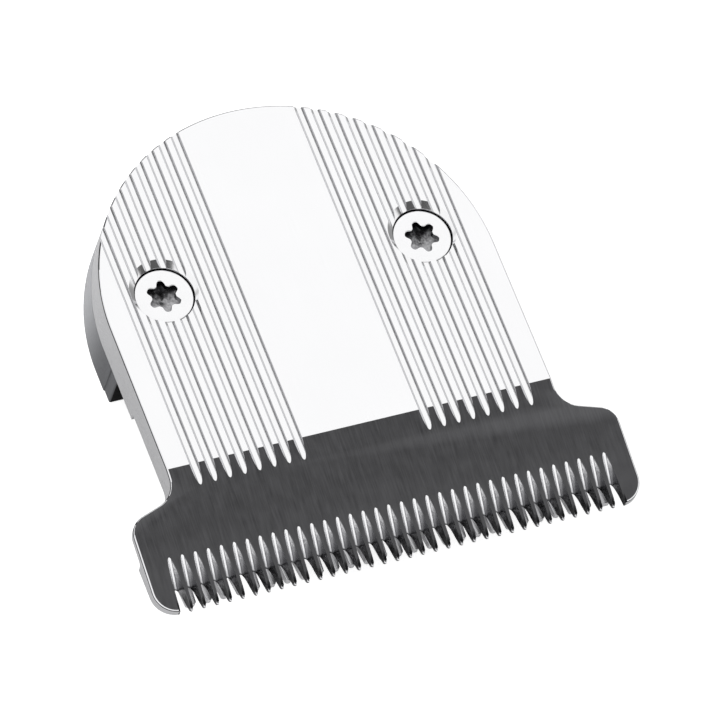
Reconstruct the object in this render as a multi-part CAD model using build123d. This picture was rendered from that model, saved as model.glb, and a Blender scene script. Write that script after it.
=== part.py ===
from build123d import *
import math
import os

# Clip-on T-blade set of a small hair trimmer, in millimetres.
# X runs along the row of teeth, -Y points out of the tooth tips and +Z out of the polished face.
# The set lies on the flat back of its carrier at Z = 0, with the middle of its length at Y = 0.

# Comb blade: outline seen from the front
head_width = 40.0
overall_length = 39.0
neck_width = 31.72
band_length = 10.80
shoulder_setback = 2.10
shoulder_drop = 1.30
neck_fillet = 2.00
shoulder_radius = 1.60
ear_radius = 1.80
ear_setback = 0.10
edge_break = 0.10

# Comb blade: section along its length
comb_thickness = 3.10
band_fall = 9.3
running_depth = 2.40
guide_step_distance = 6.13
relief_rear = 3.05
relief_front = 6.40
relief_wall = 0.62
relief_corner = 0.40
nose_length = 0.85
nose_drop = 0.16
nose_break = 0.12
nose_under = 0.22

# Comb teeth: gaps ground down from the band at a steep slope, round at the bottom with bulging sides
ear_width = 1.70
gap_pitch = 1.052
gap_length = 4.23
gap_slope = 31.6
gap_floor_width = 0.26
gap_haunch_width = 0.43
gap_haunch_height = 0.10
gap_foot_width = 0.52
gap_foot_height = 0.25
gap_wall_width = 0.74
gap_wall_height = 0.65
gap_mouth_width = 0.88
gap_mouth_height = 1.15
gap_overrun = 0.30
tooth_point_length = 1.05
tooth_point_base = 0.50
tooth_point_front = 0.15

# Flutes in the polished face
flute_count = 8
flute_pitch = 1.21
flute_first_x = 5.17
flute_width = 0.74
flute_floor_width = 0.32
flute_depth = 0.28

# Countersunk six-lobe screws
screw_x = 10.70
screw_behind_centre = 1.95
screw_radius = 1.25
screw_length = 5.20
head_radius = 2.28
head_rim = 0.20
head_sink = 0.40
head_clearance = 0.05
countersink_lead = 0.40
countersink_lip = 0.37
comb_hole_radius = 1.40
thread_play = 0.02
pilot_end_play = 0.50
lobe_count = 6
lobe_reach = 1.33
lobe_valley = 0.87
recess_depth = 0.85

# Cutter blade, which slides along X behind the comb
cutter_thickness = 1.20
cutter_side_margin = 2.55
cutter_setback = 0.68
cutter_head_length = 6.60
cutter_tail_width = 19.0
cutter_shoulder = 1.60
cutter_corner = 1.0
cutter_tip_thickness = 0.55
cutter_bevel_length = 4.60
cutter_pitch = 1.301
cutter_gap_length = 2.95
cutter_gap_mouth = 0.82
cutter_gap_root = 0.46
cutter_tip_break = 0.14
running_gap = 0.02
guide_gap = 0.05
cutter_travel = 1.40

# Driver: slide block under the cutter, with the slot for the eccentric pin
driver_plate_width = 14.2
driver_plate_length = 6.0
driver_plate_thickness = 0.80
driver_rear_distance = 1.10
driver_corner = 0.8
drive_slot_width = 3.0
driver_arm_width = 1.6
driver_arm_length = 5.0
driver_floor_gap = 0.50
peg_x = 3.2
peg_radius = 0.80
peg_play = 0.02
peg_sink = 0.10

# Pressure spring: bent strip whose two legs lift the driver
spring_thickness = 0.35
spring_leg_x = 5.40
spring_leg_width = 1.40
spring_leg_flat = 5.80
spring_leg_behind = 0.50
spring_bar_length = 1.20
spring_bar_behind_front = 1.50
spring_bar_depth = 0.30
spring_bend = 0.80
spring_touch_gap = 0.03
spring_groove_play = 0.08
spring_way_drop = 0.25

# Carrier: moulded holder, flush with the comb's outline
carrier_height = 3.50
carrier_front_ahead = 2.84
grip_end_ahead = 1.74
strip_step = 0.08
carrier_corner = 0.30
carrier_edge = 0.25
tongue_width = 24.8
tongue_height = 2.60
tongue_front_distance = 9.60
tongue_corner = 1.8
window_margin = 0.30
window_front_wall = 1.90
window_corner = 0.8
window_rear_margin = 0.70
latch_notch_length = 3.0
latch_notch_depth = 0.80
latch_notch_behind = 4.70
hook_pocket_width = 10.0
hook_pocket_length = 3.0
hook_pocket_depth = 2.2
hook_pocket_wall = 2.3
core_depth = 2.3
core_width = 3.0
core_pitch = 4.0
core_first_x = 2.7
core_length = 8.0
core_behind_bar = 2.2

# Levels along Z
face_z = carrier_height + comb_thickness
seat_z = carrier_height
run_z = face_z - running_depth
cutter_top = run_z - running_gap
cutter_bottom = cutter_top - cutter_thickness
driver_plate_bottom = cutter_bottom - driver_plate_thickness
head_top = face_z - head_sink

# Places along Y
tip_y = -overall_length / 2
ground_y = tip_y + band_length
ear_y = tip_y + ear_setback
shoulder_y = ground_y - shoulder_setback
dome_radius = neck_width / 2
dome_y = overall_length / 2 - dome_radius
screw_y = dome_y + screw_behind_centre
step_y = ground_y + guide_step_distance
carrier_front = dome_y - carrier_front_ahead
grip_end = dome_y - grip_end_ahead
cutter_tip_y = tip_y + cutter_setback
cutter_rear = step_y - guide_gap
cutter_head_rear = cutter_tip_y + cutter_head_length
driver_rear = cutter_rear - driver_rear_distance
driver_front = driver_rear - driver_plate_length
driver_y = (driver_rear + driver_front) / 2
tongue_front = step_y - tongue_front_distance
window_front = tongue_front + window_front_wall
spring_bar_y = carrier_front + spring_bar_behind_front
leg_rear = driver_rear + spring_leg_behind
leg_front = leg_rear - spring_leg_flat
window_rear = spring_bar_y - window_rear_margin
window_half = driver_plate_width / 2 + cutter_travel + window_margin
core_front = spring_bar_y + core_behind_bar
gap_root_y = tip_y + gap_length

# Rows of teeth, which fill the widths of the two blades
half_gap_row = int((head_width / 2 - ear_width) / gap_pitch)
gap_count = 2 * half_gap_row + 1
outer_gap_x = half_gap_row * gap_pitch
cutter_width = head_width - 2 * cutter_side_margin
half_cutter_row = int((cutter_width - cutter_pitch + cutter_gap_mouth) / 2 / cutter_pitch)
cutter_tooth_count = 2 * half_cutter_row + 1


def band_z(y):
    """Height of the ground band at a place along Y."""
    return face_z - (ground_y - y) * math.tan(math.radians(band_fall))


def corners_near(shape, places):
    """Corners of a flat shape that lie at the given places."""
    return [v for v in shape.vertices() if any(math.hypot(v.X - x, v.Y - y) < 0.01 for x, y in places)]


def centred_row(count, pitch):
    """Places of a row that is centred on zero."""
    return [(i - (count - 1) / 2) * pitch for i in range(count)]


def along_x(points, width):
    """Section drawn in Y and Z, extruded along X and centred on X = 0."""
    section = Plane.YZ * make_face(Polyline(*points, close=True))
    return extrude(section, width / 2, both=True)


def tip_trim():
    """What is ground away between the blunt points of the comb, as one cutting body."""
    base = tooth_point_base / 2
    front = tooth_point_front / 2
    base_y = tip_y + tooth_point_length
    corners = [(-front, tip_y), (front, tip_y), (base, base_y), (-base, base_y)]
    point = make_face(Polyline(*corners, close=True))
    trim = Pos(0, tip_y + tooth_point_length / 2) * Rectangle(2 * outer_gap_x, tooth_point_length)
    trim -= [Pos(x) * point for x in centred_row(gap_count - 1, gap_pitch)]
    return extrude(trim, face_z)


def dome_arc():
    """Round rear end that the comb and the carrier share."""
    return ThreePointArc((-dome_radius, dome_y), (0, dome_y + dome_radius), (dome_radius, dome_y))


def domed_face(side):
    """Flat shape with the round rear end, mirrored from the corners of its +X side."""
    points = side + [(-x, y) for x, y in reversed(side)]
    return make_face([Polyline(*points), dome_arc()])


def comb_outline():
    """Dome, neck and wide head, with the tooth tips a little in front of the ears."""
    head = head_width / 2
    low_shoulder = shoulder_y - shoulder_drop
    side = [(dome_radius, dome_y), (dome_radius, shoulder_y), (head, low_shoulder), (head, ear_y)]
    outline = domed_face(side)
    shoulder_share = 0.5 * (head - dome_radius)
    necks = corners_near(outline, [(dome_radius, shoulder_y), (-dome_radius, shoulder_y)])
    outline = fillet(necks, min(neck_fillet, shoulder_share))
    shoulders = corners_near(outline, [(head, low_shoulder), (-head, low_shoulder)])
    outline = fillet(shoulders, min(shoulder_radius, shoulder_share))
    outline = fillet(corners_near(outline, [(head, ear_y), (-head, ear_y)]), ear_radius)
    tooth_zone = ear_setback + ear_radius
    outline += Pos(0, tip_y + tooth_zone / 2) * Rectangle(2 * outer_gap_x, tooth_zone)
    return outline


def comb_section():
    """Polished face, falling band, rounded nose, tooth land, relief, running face, guide step and seat."""
    rear = overall_length
    nose_y = tip_y + nose_length
    nose_top = (tip_y, band_z(tip_y) - nose_drop)
    relief_rear_y = ground_y - relief_rear
    relief_front_y = ground_y - relief_front
    relief_corners = [(y, band_z(y) - relief_wall) for y in (relief_front_y, relief_rear_y)]
    points = [
        (rear, face_z),
        (ground_y, face_z),
        (nose_y, band_z(nose_y)),
        nose_top,
        (tip_y, run_z + nose_under),
        (tip_y + nose_under, run_z),
        (relief_front_y, run_z),
        *relief_corners,
        (relief_rear_y, run_z),
        (step_y, run_z),
        (step_y, seat_z),
        (rear, seat_z),
    ]
    section = make_face(Polyline(*points, close=True))
    section = chamfer(corners_near(section, [nose_top]), nose_break)
    section = fillet(corners_near(section, relief_corners), relief_corner)
    return extrude(Plane.YZ * section, head_width, both=True)


def gap_groove():
    """Straight groove of one gap: narrow bottom and walls that grow steeper towards the mouth."""
    slope = math.radians(gap_slope)
    fall = math.radians(band_fall)
    depth = gap_length * math.sin(slope - fall) / math.cos(fall) + gap_overrun
    side = [
        (gap_floor_width / 2, 0),
        (gap_haunch_width / 2, gap_haunch_height),
        (gap_foot_width / 2, gap_foot_height),
        (gap_wall_width / 2, gap_wall_height),
        (gap_mouth_width / 2, gap_mouth_height),
        (gap_mouth_width / 2, depth),
    ]
    points = side + [(-x, height) for x, height in reversed(side)]
    reach = gap_length / math.cos(slope) + gap_overrun
    direction = (0, -math.cos(slope), -math.sin(slope))
    root = Plane(origin=(0, gap_root_y, band_z(gap_root_y)), x_dir=(1, 0, 0), z_dir=direction)
    groove = extrude(make_face(Polyline(*points, close=True)), gap_overrun + reach)
    return root * Pos(0, 0, -gap_overrun) * groove


def flutes():
    """Flat-bottomed grooves along Y, in two groups beside the smooth middle."""
    slope = (flute_width - flute_floor_width) / 2 / flute_depth
    mouth = flute_floor_width / 2 + 2 * slope * flute_depth
    floor = flute_floor_width / 2
    corners = [(-floor, -flute_depth), (floor, -flute_depth), (mouth, flute_depth), (-mouth, flute_depth)]
    groove = Plane.XZ * make_face(Polyline(*corners, close=True))
    groove = Pos(0, 0, face_z) * extrude(groove, overall_length, both=True)
    first = [flute_first_x + i * flute_pitch for i in range(flute_count)]
    return [Pos(side * x) * groove for x in first for side in (-1, 1)]


def screw_places():
    """The two screw axes."""
    return [(-screw_x, screw_y), (screw_x, screw_y)]


def comb_screw_hole():
    """Clearance hole, countersink and the shallow lip around it, along its own Z axis."""
    edge = head_radius + countersink_lead
    mouth = edge + countersink_lip
    edge_z = head_top - head_rim - head_clearance + countersink_lead
    half_section = [
        (0, 0),
        (comb_hole_radius, 0),
        (comb_hole_radius, edge_z - (edge - comb_hole_radius)),
        (edge, edge_z),
        (mouth, face_z),
        (mouth, face_z + head_sink),
        (0, face_z + head_sink),
    ]
    return revolve(Plane.XZ * make_face(Polyline(*half_section, close=True)), Axis.Z)


def comb_blade():
    """Fixed blade: one ground and polished steel plate."""
    plate = extrude(comb_outline(), face_z + edge_break) & comb_section()
    rim_edges = plate.faces().filter_by(Axis.Z).sort_by(Axis.Z)[-1].edges()
    rim_edges = [e for e in rim_edges if e.center().Y > ground_y + edge_break]
    plate = chamfer(rim_edges, edge_break)
    plate -= flutes()
    plate -= [Pos(x, y) * comb_screw_hole() for x, y in screw_places()]
    groove = gap_groove()
    plate -= [Pos(x) * groove for x in centred_row(gap_count, gap_pitch)]
    return plate - tip_trim()


def cutter_gap():
    """One gap of the cutter, wider at its mouth, where the points beside it are broken."""
    mouth = cutter_gap_mouth / 2
    root = cutter_gap_root / 2
    flare = mouth + cutter_tip_break
    side = [(flare, -cutter_tip_break), (flare, 0), (mouth, cutter_tip_break), (root, cutter_gap_length)]
    points = side + [(-x, y) for x, y in reversed(side)]
    return Pos(0, cutter_tip_y) * make_face(Polyline(*points, close=True))


def cutter_outline():
    """Wide toothed head and the narrower tail that the guide step locates."""
    head = cutter_width / 2
    tail = cutter_tail_width / 2
    tail_y = cutter_head_rear + cutter_shoulder
    side = [(head, cutter_tip_y), (head, cutter_head_rear), (tail, tail_y), (tail, cutter_rear)]
    points = side + [(-x, y) for x, y in reversed(side)]
    outline = make_face(Polyline(*points, close=True))
    outline = fillet(corners_near(outline, points[1:-1]), cutter_corner)
    outline -= [Pos(x) * cutter_gap() for x in centred_row(cutter_tooth_count - 1, cutter_pitch)]
    outline -= [Pos(x, driver_y) * Circle(peg_radius + peg_play) for x in (-peg_x, peg_x)]
    return outline


def cutter_blade():
    """Moving blade: flat on top, bevelled underneath towards its points."""
    blade = Pos(0, 0, cutter_bottom) * extrude(cutter_outline(), cutter_thickness)
    bevel_y = cutter_tip_y + cutter_bevel_length
    bevel = [
        (bevel_y, cutter_bottom),
        (cutter_tip_y, cutter_top - cutter_tip_thickness),
        (cutter_tip_y - cutter_corner, cutter_top - cutter_tip_thickness),
        (cutter_tip_y - cutter_corner, cutter_bottom - cutter_corner),
        (bevel_y, cutter_bottom - cutter_corner),
    ]
    return blade - along_x(bevel, head_width)


def cutter_driver():
    """Slide block with two pegs through the cutter and a fork for the eccentric pin."""
    plate = RectangleRounded(driver_plate_width, driver_plate_length, driver_corner)
    driver = Pos(0, driver_y, driver_plate_bottom) * extrude(plate, driver_plate_thickness)
    arm = Rectangle(driver_arm_width, driver_arm_length)
    arm_x = (drive_slot_width + driver_arm_width) / 2
    arm_height = driver_plate_bottom - driver_floor_gap
    driver += [Pos(x, driver_y, driver_floor_gap) * extrude(arm, arm_height) for x in (-arm_x, arm_x)]
    peg = extrude(Circle(peg_radius), cutter_thickness - peg_sink)
    driver += [Pos(x, driver_y, cutter_bottom) * peg for x in (-peg_x, peg_x)]
    return driver


def spring_section():
    """Strip seen from the side: flat leg under the driver, rise and flat bar."""
    bar_front = spring_bar_y - spring_bar_length / 2
    bar_rear = spring_bar_y + spring_bar_length / 2
    leg_z = driver_plate_bottom - spring_touch_gap
    bar_z = seat_z - spring_bar_depth
    upper = [(leg_front, leg_z), (leg_rear, leg_z), (bar_front, bar_z), (bar_rear, bar_z)]
    lower = [(y, z - spring_thickness) for y, z in reversed(upper)]
    section = make_face(Polyline(*upper, *lower, close=True))
    bends = [upper[1], upper[2], lower[1], lower[2]]
    return Plane.YZ * fillet(corners_near(section, bends), spring_bend)


def pressure_spring():
    """Stamped and bent strip: a bar across and two legs."""
    bar_rear = spring_bar_y + spring_bar_length / 2
    leg = Pos(0, (leg_front + bar_rear) / 2) * Rectangle(spring_leg_width, bar_rear - leg_front)
    outline = Pos(0, spring_bar_y) * Rectangle(2 * spring_leg_x, spring_bar_length)
    outline += [Pos(x) * leg for x in (-spring_leg_x, spring_leg_x)]
    return extrude(outline, seat_z) & extrude(spring_section(), head_width / 2, both=True)


def spring_grooves():
    """Seat of the bar and the two ways out of it, open to the top of the carrier."""
    bar_length = spring_bar_length + 2 * spring_groove_play
    width = spring_leg_width + 2 * spring_groove_play
    floor_z = seat_z - spring_bar_depth - spring_thickness - spring_groove_play
    bar = Pos(0, spring_bar_y, floor_z) * extrude(Rectangle(2 * spring_leg_x + width, bar_length), seat_z)
    way_rear = spring_bar_y + bar_length / 2
    way_length = way_rear - window_rear + spring_groove_play
    way = extrude(Rectangle(width, way_length), seat_z)
    way_place = (way_rear - way_length / 2, floor_z - spring_way_drop)
    return [bar] + [Pos(x, *way_place) * way for x in (-spring_leg_x, spring_leg_x)]


def carrier_outline():
    """Round rear end flush with the comb, with the sides stepped in just behind the front face."""
    inner = dome_radius - strip_step
    side = [(dome_radius, dome_y), (dome_radius, grip_end), (inner, grip_end), (inner, carrier_front)]
    outline = domed_face(side)
    return fillet(corners_near(outline, [(-inner, carrier_front), (inner, carrier_front)]), carrier_corner)


def carrier_cores():
    """Blind hollows of the moulding, open at the back."""
    core = extrude(Rectangle(core_width, core_length), core_depth)
    places = [side * (core_first_x + i * core_pitch) for i in (0, 1) for side in (-1, 1)]
    return [Pos(x, core_front + core_length / 2) * core for x in places]


def blade_carrier():
    """Moulded holder: D-shaped rear body, tongue under the cutter and the window for the drive."""
    body = extrude(carrier_outline(), carrier_height)
    body = chamfer(body.faces().sort_by(Axis.Z)[0].edges(), carrier_edge)
    tongue_length = carrier_front + carrier_corner - tongue_front
    tongue = RectangleRounded(tongue_width, tongue_length + 2 * tongue_corner, tongue_corner)
    tongue_y = tongue_front + tongue_length / 2 + tongue_corner
    body += Pos(0, tongue_y) * extrude(tongue, tongue_height)
    window_length = window_rear - window_front
    window = RectangleRounded(2 * window_half, window_length, window_corner)
    body -= Pos(0, window_front + window_length / 2) * extrude(window, carrier_height)
    notch = Box(2 * latch_notch_depth, latch_notch_length, 2 * carrier_height)
    notch_y = tongue_front + latch_notch_behind
    body -= [Pos(side * tongue_width / 2, notch_y) * notch for side in (-1, 1)]
    pocket = Box(hook_pocket_width, hook_pocket_length, 2 * hook_pocket_depth)
    body -= Pos(0, dome_y + dome_radius - hook_pocket_wall - hook_pocket_length / 2) * pocket
    body -= carrier_cores()
    body -= spring_grooves()
    pilot_floor = head_top - screw_length - pilot_end_play
    pilot = extrude(Circle(screw_radius + thread_play), carrier_height)
    body -= [Pos(x, y, pilot_floor) * pilot for x, y in screw_places()]
    return body


def lobe_recess():
    """Six-pointed socket, drawn about its own axis."""
    step = math.pi / lobe_count
    reach = [lobe_reach if i % 2 == 0 else lobe_valley for i in range(2 * lobe_count)]
    points = [(r * math.cos(i * step), r * math.sin(i * step)) for i, r in enumerate(reach)]
    return extrude(make_face(Polyline(*points, close=True)), recess_depth + head_sink)


def carrier_screw():
    """Countersunk screw along its own Z axis, with a flat end."""
    rim_z = head_top - head_rim
    end_z = head_top - screw_length
    half_section = [
        (0, end_z),
        (screw_radius, end_z),
        (screw_radius, rim_z - (head_radius - screw_radius)),
        (head_radius, rim_z),
        (head_radius, head_top),
        (0, head_top),
    ]
    screw = revolve(Plane.XZ * make_face(Polyline(*half_section, close=True)), Axis.Z)
    return screw - Pos(0, 0, head_top - recess_depth) * lobe_recess()


def carrier_screws():
    """Both screws, as two solids."""
    return Compound(children=[Pos(x, y) * carrier_screw() for x, y in screw_places()])


pieces = {
    "comb_blade": comb_blade(),
    "cutter_blade": cutter_blade(),
    "cutter_driver": cutter_driver(),
    "pressure_spring": pressure_spring(),
    "blade_carrier": blade_carrier(),
    "carrier_screws": carrier_screws(),
}

os.makedirs("parts", exist_ok=True)
for name, piece in pieces.items():
    export_step(piece, f"parts/{name}.step")
    print(name, len(piece.solids()), "solids", round(piece.volume, 2), "mm3")
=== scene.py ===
"""Looks of a hair clipper blade set: ground and polished comb, cutter behind it, screws and moulded carrier."""

import logging
import math
from dataclasses import dataclass, field
from enum import Enum, IntEnum
from typing import Callable, Sequence, Union

import bpy
import numpy as np
from mathutils import Matrix, Vector


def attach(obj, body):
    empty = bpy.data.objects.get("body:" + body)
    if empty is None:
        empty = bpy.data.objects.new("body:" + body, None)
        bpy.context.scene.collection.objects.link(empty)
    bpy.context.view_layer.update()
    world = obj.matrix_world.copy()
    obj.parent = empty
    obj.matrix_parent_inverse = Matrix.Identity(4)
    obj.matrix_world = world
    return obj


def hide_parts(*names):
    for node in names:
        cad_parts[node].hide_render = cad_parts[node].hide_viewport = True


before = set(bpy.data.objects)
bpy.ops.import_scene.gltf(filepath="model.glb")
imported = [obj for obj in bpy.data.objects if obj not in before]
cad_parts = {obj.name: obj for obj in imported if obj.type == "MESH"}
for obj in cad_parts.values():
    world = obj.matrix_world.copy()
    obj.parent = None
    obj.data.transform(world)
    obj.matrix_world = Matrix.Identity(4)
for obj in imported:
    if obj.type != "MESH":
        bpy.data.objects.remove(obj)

log = logging.getLogger("clipper_blade")

Array = np.ndarray
Level = Union[float, Callable[[Array], Array]]
Hull = tuple[Array, Array, list[list[int]]]
Span = tuple[float, float]
Triple = tuple[float, float, float]
Tree = bpy.types.NodeTree
Socket = bpy.types.NodeSocket
Piece = bpy.types.Object

MM = 0.001
WHITE = (1.0, 1.0, 1.0, 1.0)
SIDES = (-1, 1)
# How far a cutting body reaches past the face that it opens, and to the sides where nothing limits it.
PAST = 1.0
BEYOND = 30.0


def linear(hex_colour: str) -> tuple[float, float, float, float]:
    """Turns an sRGB hex colour into linear light.

    Args:
        hex_colour: Six hex digits, such as "8A8A8C".

    Returns:
        Red, green, blue and an alpha of one.
    """
    parts = [int(hex_colour[i:i + 2], 16) / 255 for i in (0, 2, 4)]
    lit = [p / 12.92 if p <= 0.04045 else ((p + 0.055) / 1.055) ** 2.4 for p in parts]
    return (lit[0], lit[1], lit[2], 1.0)


def add(tree: Tree, kind: str, links: dict | None = None, **settings: object) -> bpy.types.Node:
    """Adds one node with its settings and links.

    Args:
        tree: Node tree that gets the node.
        kind: Blender's name of the node type.
        links: Input name or index, with a value or with the output that feeds it.
        settings: Properties of the node itself.

    Returns:
        The new node.
    """
    made = tree.nodes.new(kind)
    for name, value in settings.items():
        setattr(made, name, value)
    for name, value in (links or {}).items():
        if isinstance(value, Socket):
            tree.links.new(value, made.inputs[name])
        else:
            made.inputs[name].default_value = value
    return made


def empty_tree(owner: bpy.types.Material | bpy.types.World) -> Tree:
    """Gives a material or a world a node tree with nothing in it."""
    owner.use_nodes = True
    owner.node_tree.nodes.clear()
    return owner.node_tree


def mixed(tree: Tree, share: object, first: object, second: object) -> Socket:
    """Mixes two colours, each a value or an output, by a share from 0 to 1."""
    return add(tree, "ShaderNodeMix", {0: share, 6: first, 7: second}, data_type="RGBA").outputs[2]


def reach_along(tree: Tree, output: str, direction: Sequence[float]) -> Socket:
    """How far a texture coordinate lies along a direction."""
    point = add(tree, "ShaderNodeTexCoord").outputs[output]
    return add(tree, "ShaderNodeVectorMath", {0: point, 1: direction}, operation="DOT_PRODUCT").outputs["Value"]


def rising(tree: Tree, value: object, start: float, end: float) -> Socket:
    """Share that rises smoothly from 0 where the value is start to 1 where it is end."""
    limits = {"Value": value, "From Min": start, "From Max": end}
    return add(tree, "ShaderNodeMapRange", limits, interpolation_type="SMOOTHSTEP").outputs["Result"]


@dataclass(frozen=True)
class Levels:
    """Heights and places that more than one piece uses, in millimetres."""

    face: float = 6.60
    seat: float = 3.50
    run: float = 4.20
    cutter_bottom: float = 2.98
    tip_y: float = -19.50
    ground_y: float = -8.70
    band_fall: float = math.tan(math.radians(9.3))
    dome_radius: float = 15.86
    dome_y: float = 3.64
    screw_x: float = 10.70
    screw_y: float = 5.59
    head_top: float = 6.16
    step_y: float = -2.57
    driver_y: float = -6.72
    peg_x: float = 3.2

    @property
    def band_origin(self) -> float:
        """Height at which the plane of the ground band crosses Y = 0."""
        return self.face - self.ground_y * self.band_fall

    def top(self, y: float | Array) -> float | Array:
        """Height of the face over Y: flat, then falling at the band's angle from the ground line on."""
        return self.face - np.maximum(self.ground_y - y, 0.0) * self.band_fall

    def dome(self, steps: int) -> list[Span]:
        """Half circle round the rear end, from right to left."""
        turn = np.linspace(0, math.pi, steps + 1)
        return [(self.dome_radius * math.cos(a), self.dome_y + self.dome_radius * math.sin(a)) for a in turn]


AT = Levels()


def cloud(tree: Tree, size: Triple) -> Socket:
    """Adds one noise on Object coordinates.

    Args:
        tree: The material's node tree.
        size: Size of one mark in millimetres along X, Y and Z.

    Returns:
        Output from 0 to 1.
    """
    point = add(tree, "ShaderNodeTexCoord").outputs["Object"]
    stretched = add(tree, "ShaderNodeMapping", {"Vector": point, "Scale": [1.0 / (s * MM) for s in size]})
    noise = add(tree, "ShaderNodeTexNoise", {"Vector": stretched.outputs["Vector"], "Scale": 1.0, "Detail": 3.0})
    spread = add(tree, "ShaderNodeMapRange", {"Value": noise.outputs["Fac"], "From Min": 0.3, "From Max": 0.7})
    return spread.outputs["Result"]


@dataclass(frozen=True)
class PaintedBlend:
    """Painted light and shade: change of a finish's colour along one direction, where its surroundings darken or
    brighten the piece.

    The share of the new colour rises smoothly from 0 at start to 1 at end, both in millimetres along the
    direction. With a waver the blend begins up to that much earlier, by a noise with marks of waver_size.
    """

    direction: Triple
    start: float
    end: float
    colour: str
    waver: float = 0.0
    waver_size: Triple = (0.5, 4.0, 4.0)

    def applied(self, tree: Tree, colour: Socket) -> Socket:
        """Mixes the new colour over the old one.

        Args:
            tree: The material's node tree.
            colour: Output with the old colour.

        Returns:
            Output with the mixed colour.
        """
        reach = reach_along(tree, "Object", [d / MM for d in self.direction])
        if self.waver:
            terms = {0: cloud(tree, self.waver_size), 1: self.waver, 2: reach}
            reach = add(tree, "ShaderNodeMath", terms, operation="MULTIPLY_ADD").outputs[0]
        return mixed(tree, rising(tree, reach, self.start, self.end), colour, linear(self.colour))


def painted_under_band(start: float, end: float, colour: str, waver: float = 0.0,
               waver_size: Triple = (0.5, 4.0, 4.0)) -> PaintedBlend:
    """Painted light or shade by the depth under the plane of the ground band, which is band_origin + fall * y - z.
    """
    return PaintedBlend((0, AT.band_fall, -1), start - AT.band_origin, end - AT.band_origin, colour, waver, waver_size)


@dataclass(frozen=True)
class Finish:
    """One finish of the object: the constants of its shader, the marks that its making leaves, and the painted
    light and shade of its blends.

    The grain is a noise stretched along the direction of working, and the haze a soft cloud over it.
    """

    name: str
    colour: str
    metallic: float
    roughness: float
    grain: Triple
    colour_swing: float = 0.05
    roughness_swing: float = 0.05
    bump_height: float = 0.0
    haze_size: float = 5.0
    haze_share: float = 0.35
    specular: float = 0.5
    painted_blends: tuple[PaintedBlend, ...] = ()

    def material(self) -> bpy.types.Material:
        """Builds the material with its grain.

        Returns:
            A material whose base colour, roughness and bump follow grain and haze on Object coordinates.
        """
        made = bpy.data.materials.new(self.name)
        tree = empty_tree(made)
        out = add(tree, "ShaderNodeOutputMaterial")
        shader = add(tree, "ShaderNodeBsdfPrincipled", {
            "Metallic": self.metallic, "Roughness": self.roughness, "Specular IOR Level": self.specular,
        })
        tree.links.new(shader.outputs["BSDF"], out.inputs["Surface"])
        self.pattern(tree, shader)
        return made

    def pattern(self, tree: Tree, shader: bpy.types.Node) -> None:
        """Feeds colour, roughness and bump of the shader.

        Args:
            tree: The material's node tree.
            shader: Its Principled node.
        """
        grain = cloud(tree, self.grain)
        haze = cloud(tree, (self.haze_size,) * 3)
        both = add(tree, "ShaderNodeMix", {0: self.haze_share, 2: grain, 3: haze}).outputs[0]
        base = linear(self.colour)[:3]
        dark, light = ([min(1.0, c * (1 + swing)) for c in base] + [1.0]
                       for swing in (-self.colour_swing, self.colour_swing))
        colour = mixed(tree, both, dark, light)
        # Painted light and shade: each blend mixes its colour over the grain.
        for blend in self.painted_blends:
            colour = blend.applied(tree, colour)
        tree.links.new(colour, shader.inputs["Base Color"])
        rough = add(tree, "ShaderNodeMapRange", {
            "Value": both, "To Min": max(0.02, self.roughness - self.roughness_swing),
            "To Max": self.roughness + self.roughness_swing,
        })
        tree.links.new(rough.outputs["Result"], shader.inputs["Roughness"])
        if self.bump_height:
            height = {"Height": grain, "Strength": 1.0, "Distance": self.bump_height * MM}
            bump = add(tree, "ShaderNodeBump", height)
            tree.links.new(bump.outputs["Normal"], shader.inputs["Normal"])


# Stainless steel, lapped and polished: almost a mirror, with a faint haze of fine scratches along the blade.
POLISHED = Finish("steel_lapped_polished", "FBFBFC", 1.0, 0.10, (0.06, 6.0, 1.0), 0.016, 0.02, 0.00002, 7.0, 0.5)
# The same steel, surface-ground along the teeth, with straight grain 0.1 mm wide: grey partly from its grind and
# partly as a painted dark reflection, painted a little lighter towards the teeth.
GROUND = Finish("steel_surface_ground_painted_dark", "6C6C6E", 1.0, 0.34, (0.09, 2.2, 1.0), 0.15, 0.06, 0.0003, 1.2, 0.3,
                painted_blends=(PaintedBlend((0, -1, 0), 13.0, 16.5, "767678"),))
# Nose of the teeth: stoned round, with a painted dark reflection that deepens towards the points.
NOSE = Finish("steel_stoned_nose_painted_dark", "767678", 1.0, 0.34, (0.09, 2.2, 1.0), 0.15, 0.06, 0.0003, 1.2, 0.3,
              painted_blends=(PaintedBlend((0, -1, 0), 18.6, 19.25, "303032"),))
# Points of the teeth: polished, so that they glide.
POINT = Finish("steel_polished_point", "F4F4F6", 1.0, 0.14, (0.1, 0.1, 0.1), 0.02, 0.03, 0.0001, 1.0, 0.4)
# Milled flute floor: as bright as the face, with the cutter's fine lines along it.
FLUTE = Finish("steel_milled_flute", "FAFAFB", 1.0, 0.12, (0.08, 5.0, 0.08), 0.02, 0.03, 0.00005, 2.0, 0.3)
# Flute wall: cut by the side of the same cutter, duller, with painted shade that makes it darkest at its upper
# edge.
FLUTE_WALL = Finish("steel_milled_flute_wall_painted_edge", "E4E4E6", 1.0, 0.26, (0.3, 5.0, 0.06), 0.06, 0.05, 0.0002, 2.0, 0.3,
                    painted_blends=(PaintedBlend((0, 0, 1), 6.42, 6.58, "C2C2C4"),))
# Blanked and tumbled edge: satin, with marks that run round the plate.
EDGE = Finish("steel_tumbled_edge", "C6C6C8", 1.0, 0.30, (0.5, 0.5, 0.08), 0.10, 0.06, 0.0004, 2.0, 0.3)
# Rounding between face and edge: polished with the face.
ROUND = Finish("steel_polished_rounding", "F2F2F4", 1.0, 0.10, (0.5, 0.5, 0.5), 0.02, 0.03, 0.0001, 2.0, 0.3)
# Outer part of that rounding, wider along the dome: painted dark, as the dark reflection where it turns from the
# light.
CORNER = Finish("steel_corner_painted_dark_reflection", "343436", 1.0, 0.24, (0.5, 0.5, 0.5), 0.06, 0.05, 0.0001, 2.0, 0.3)
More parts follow.
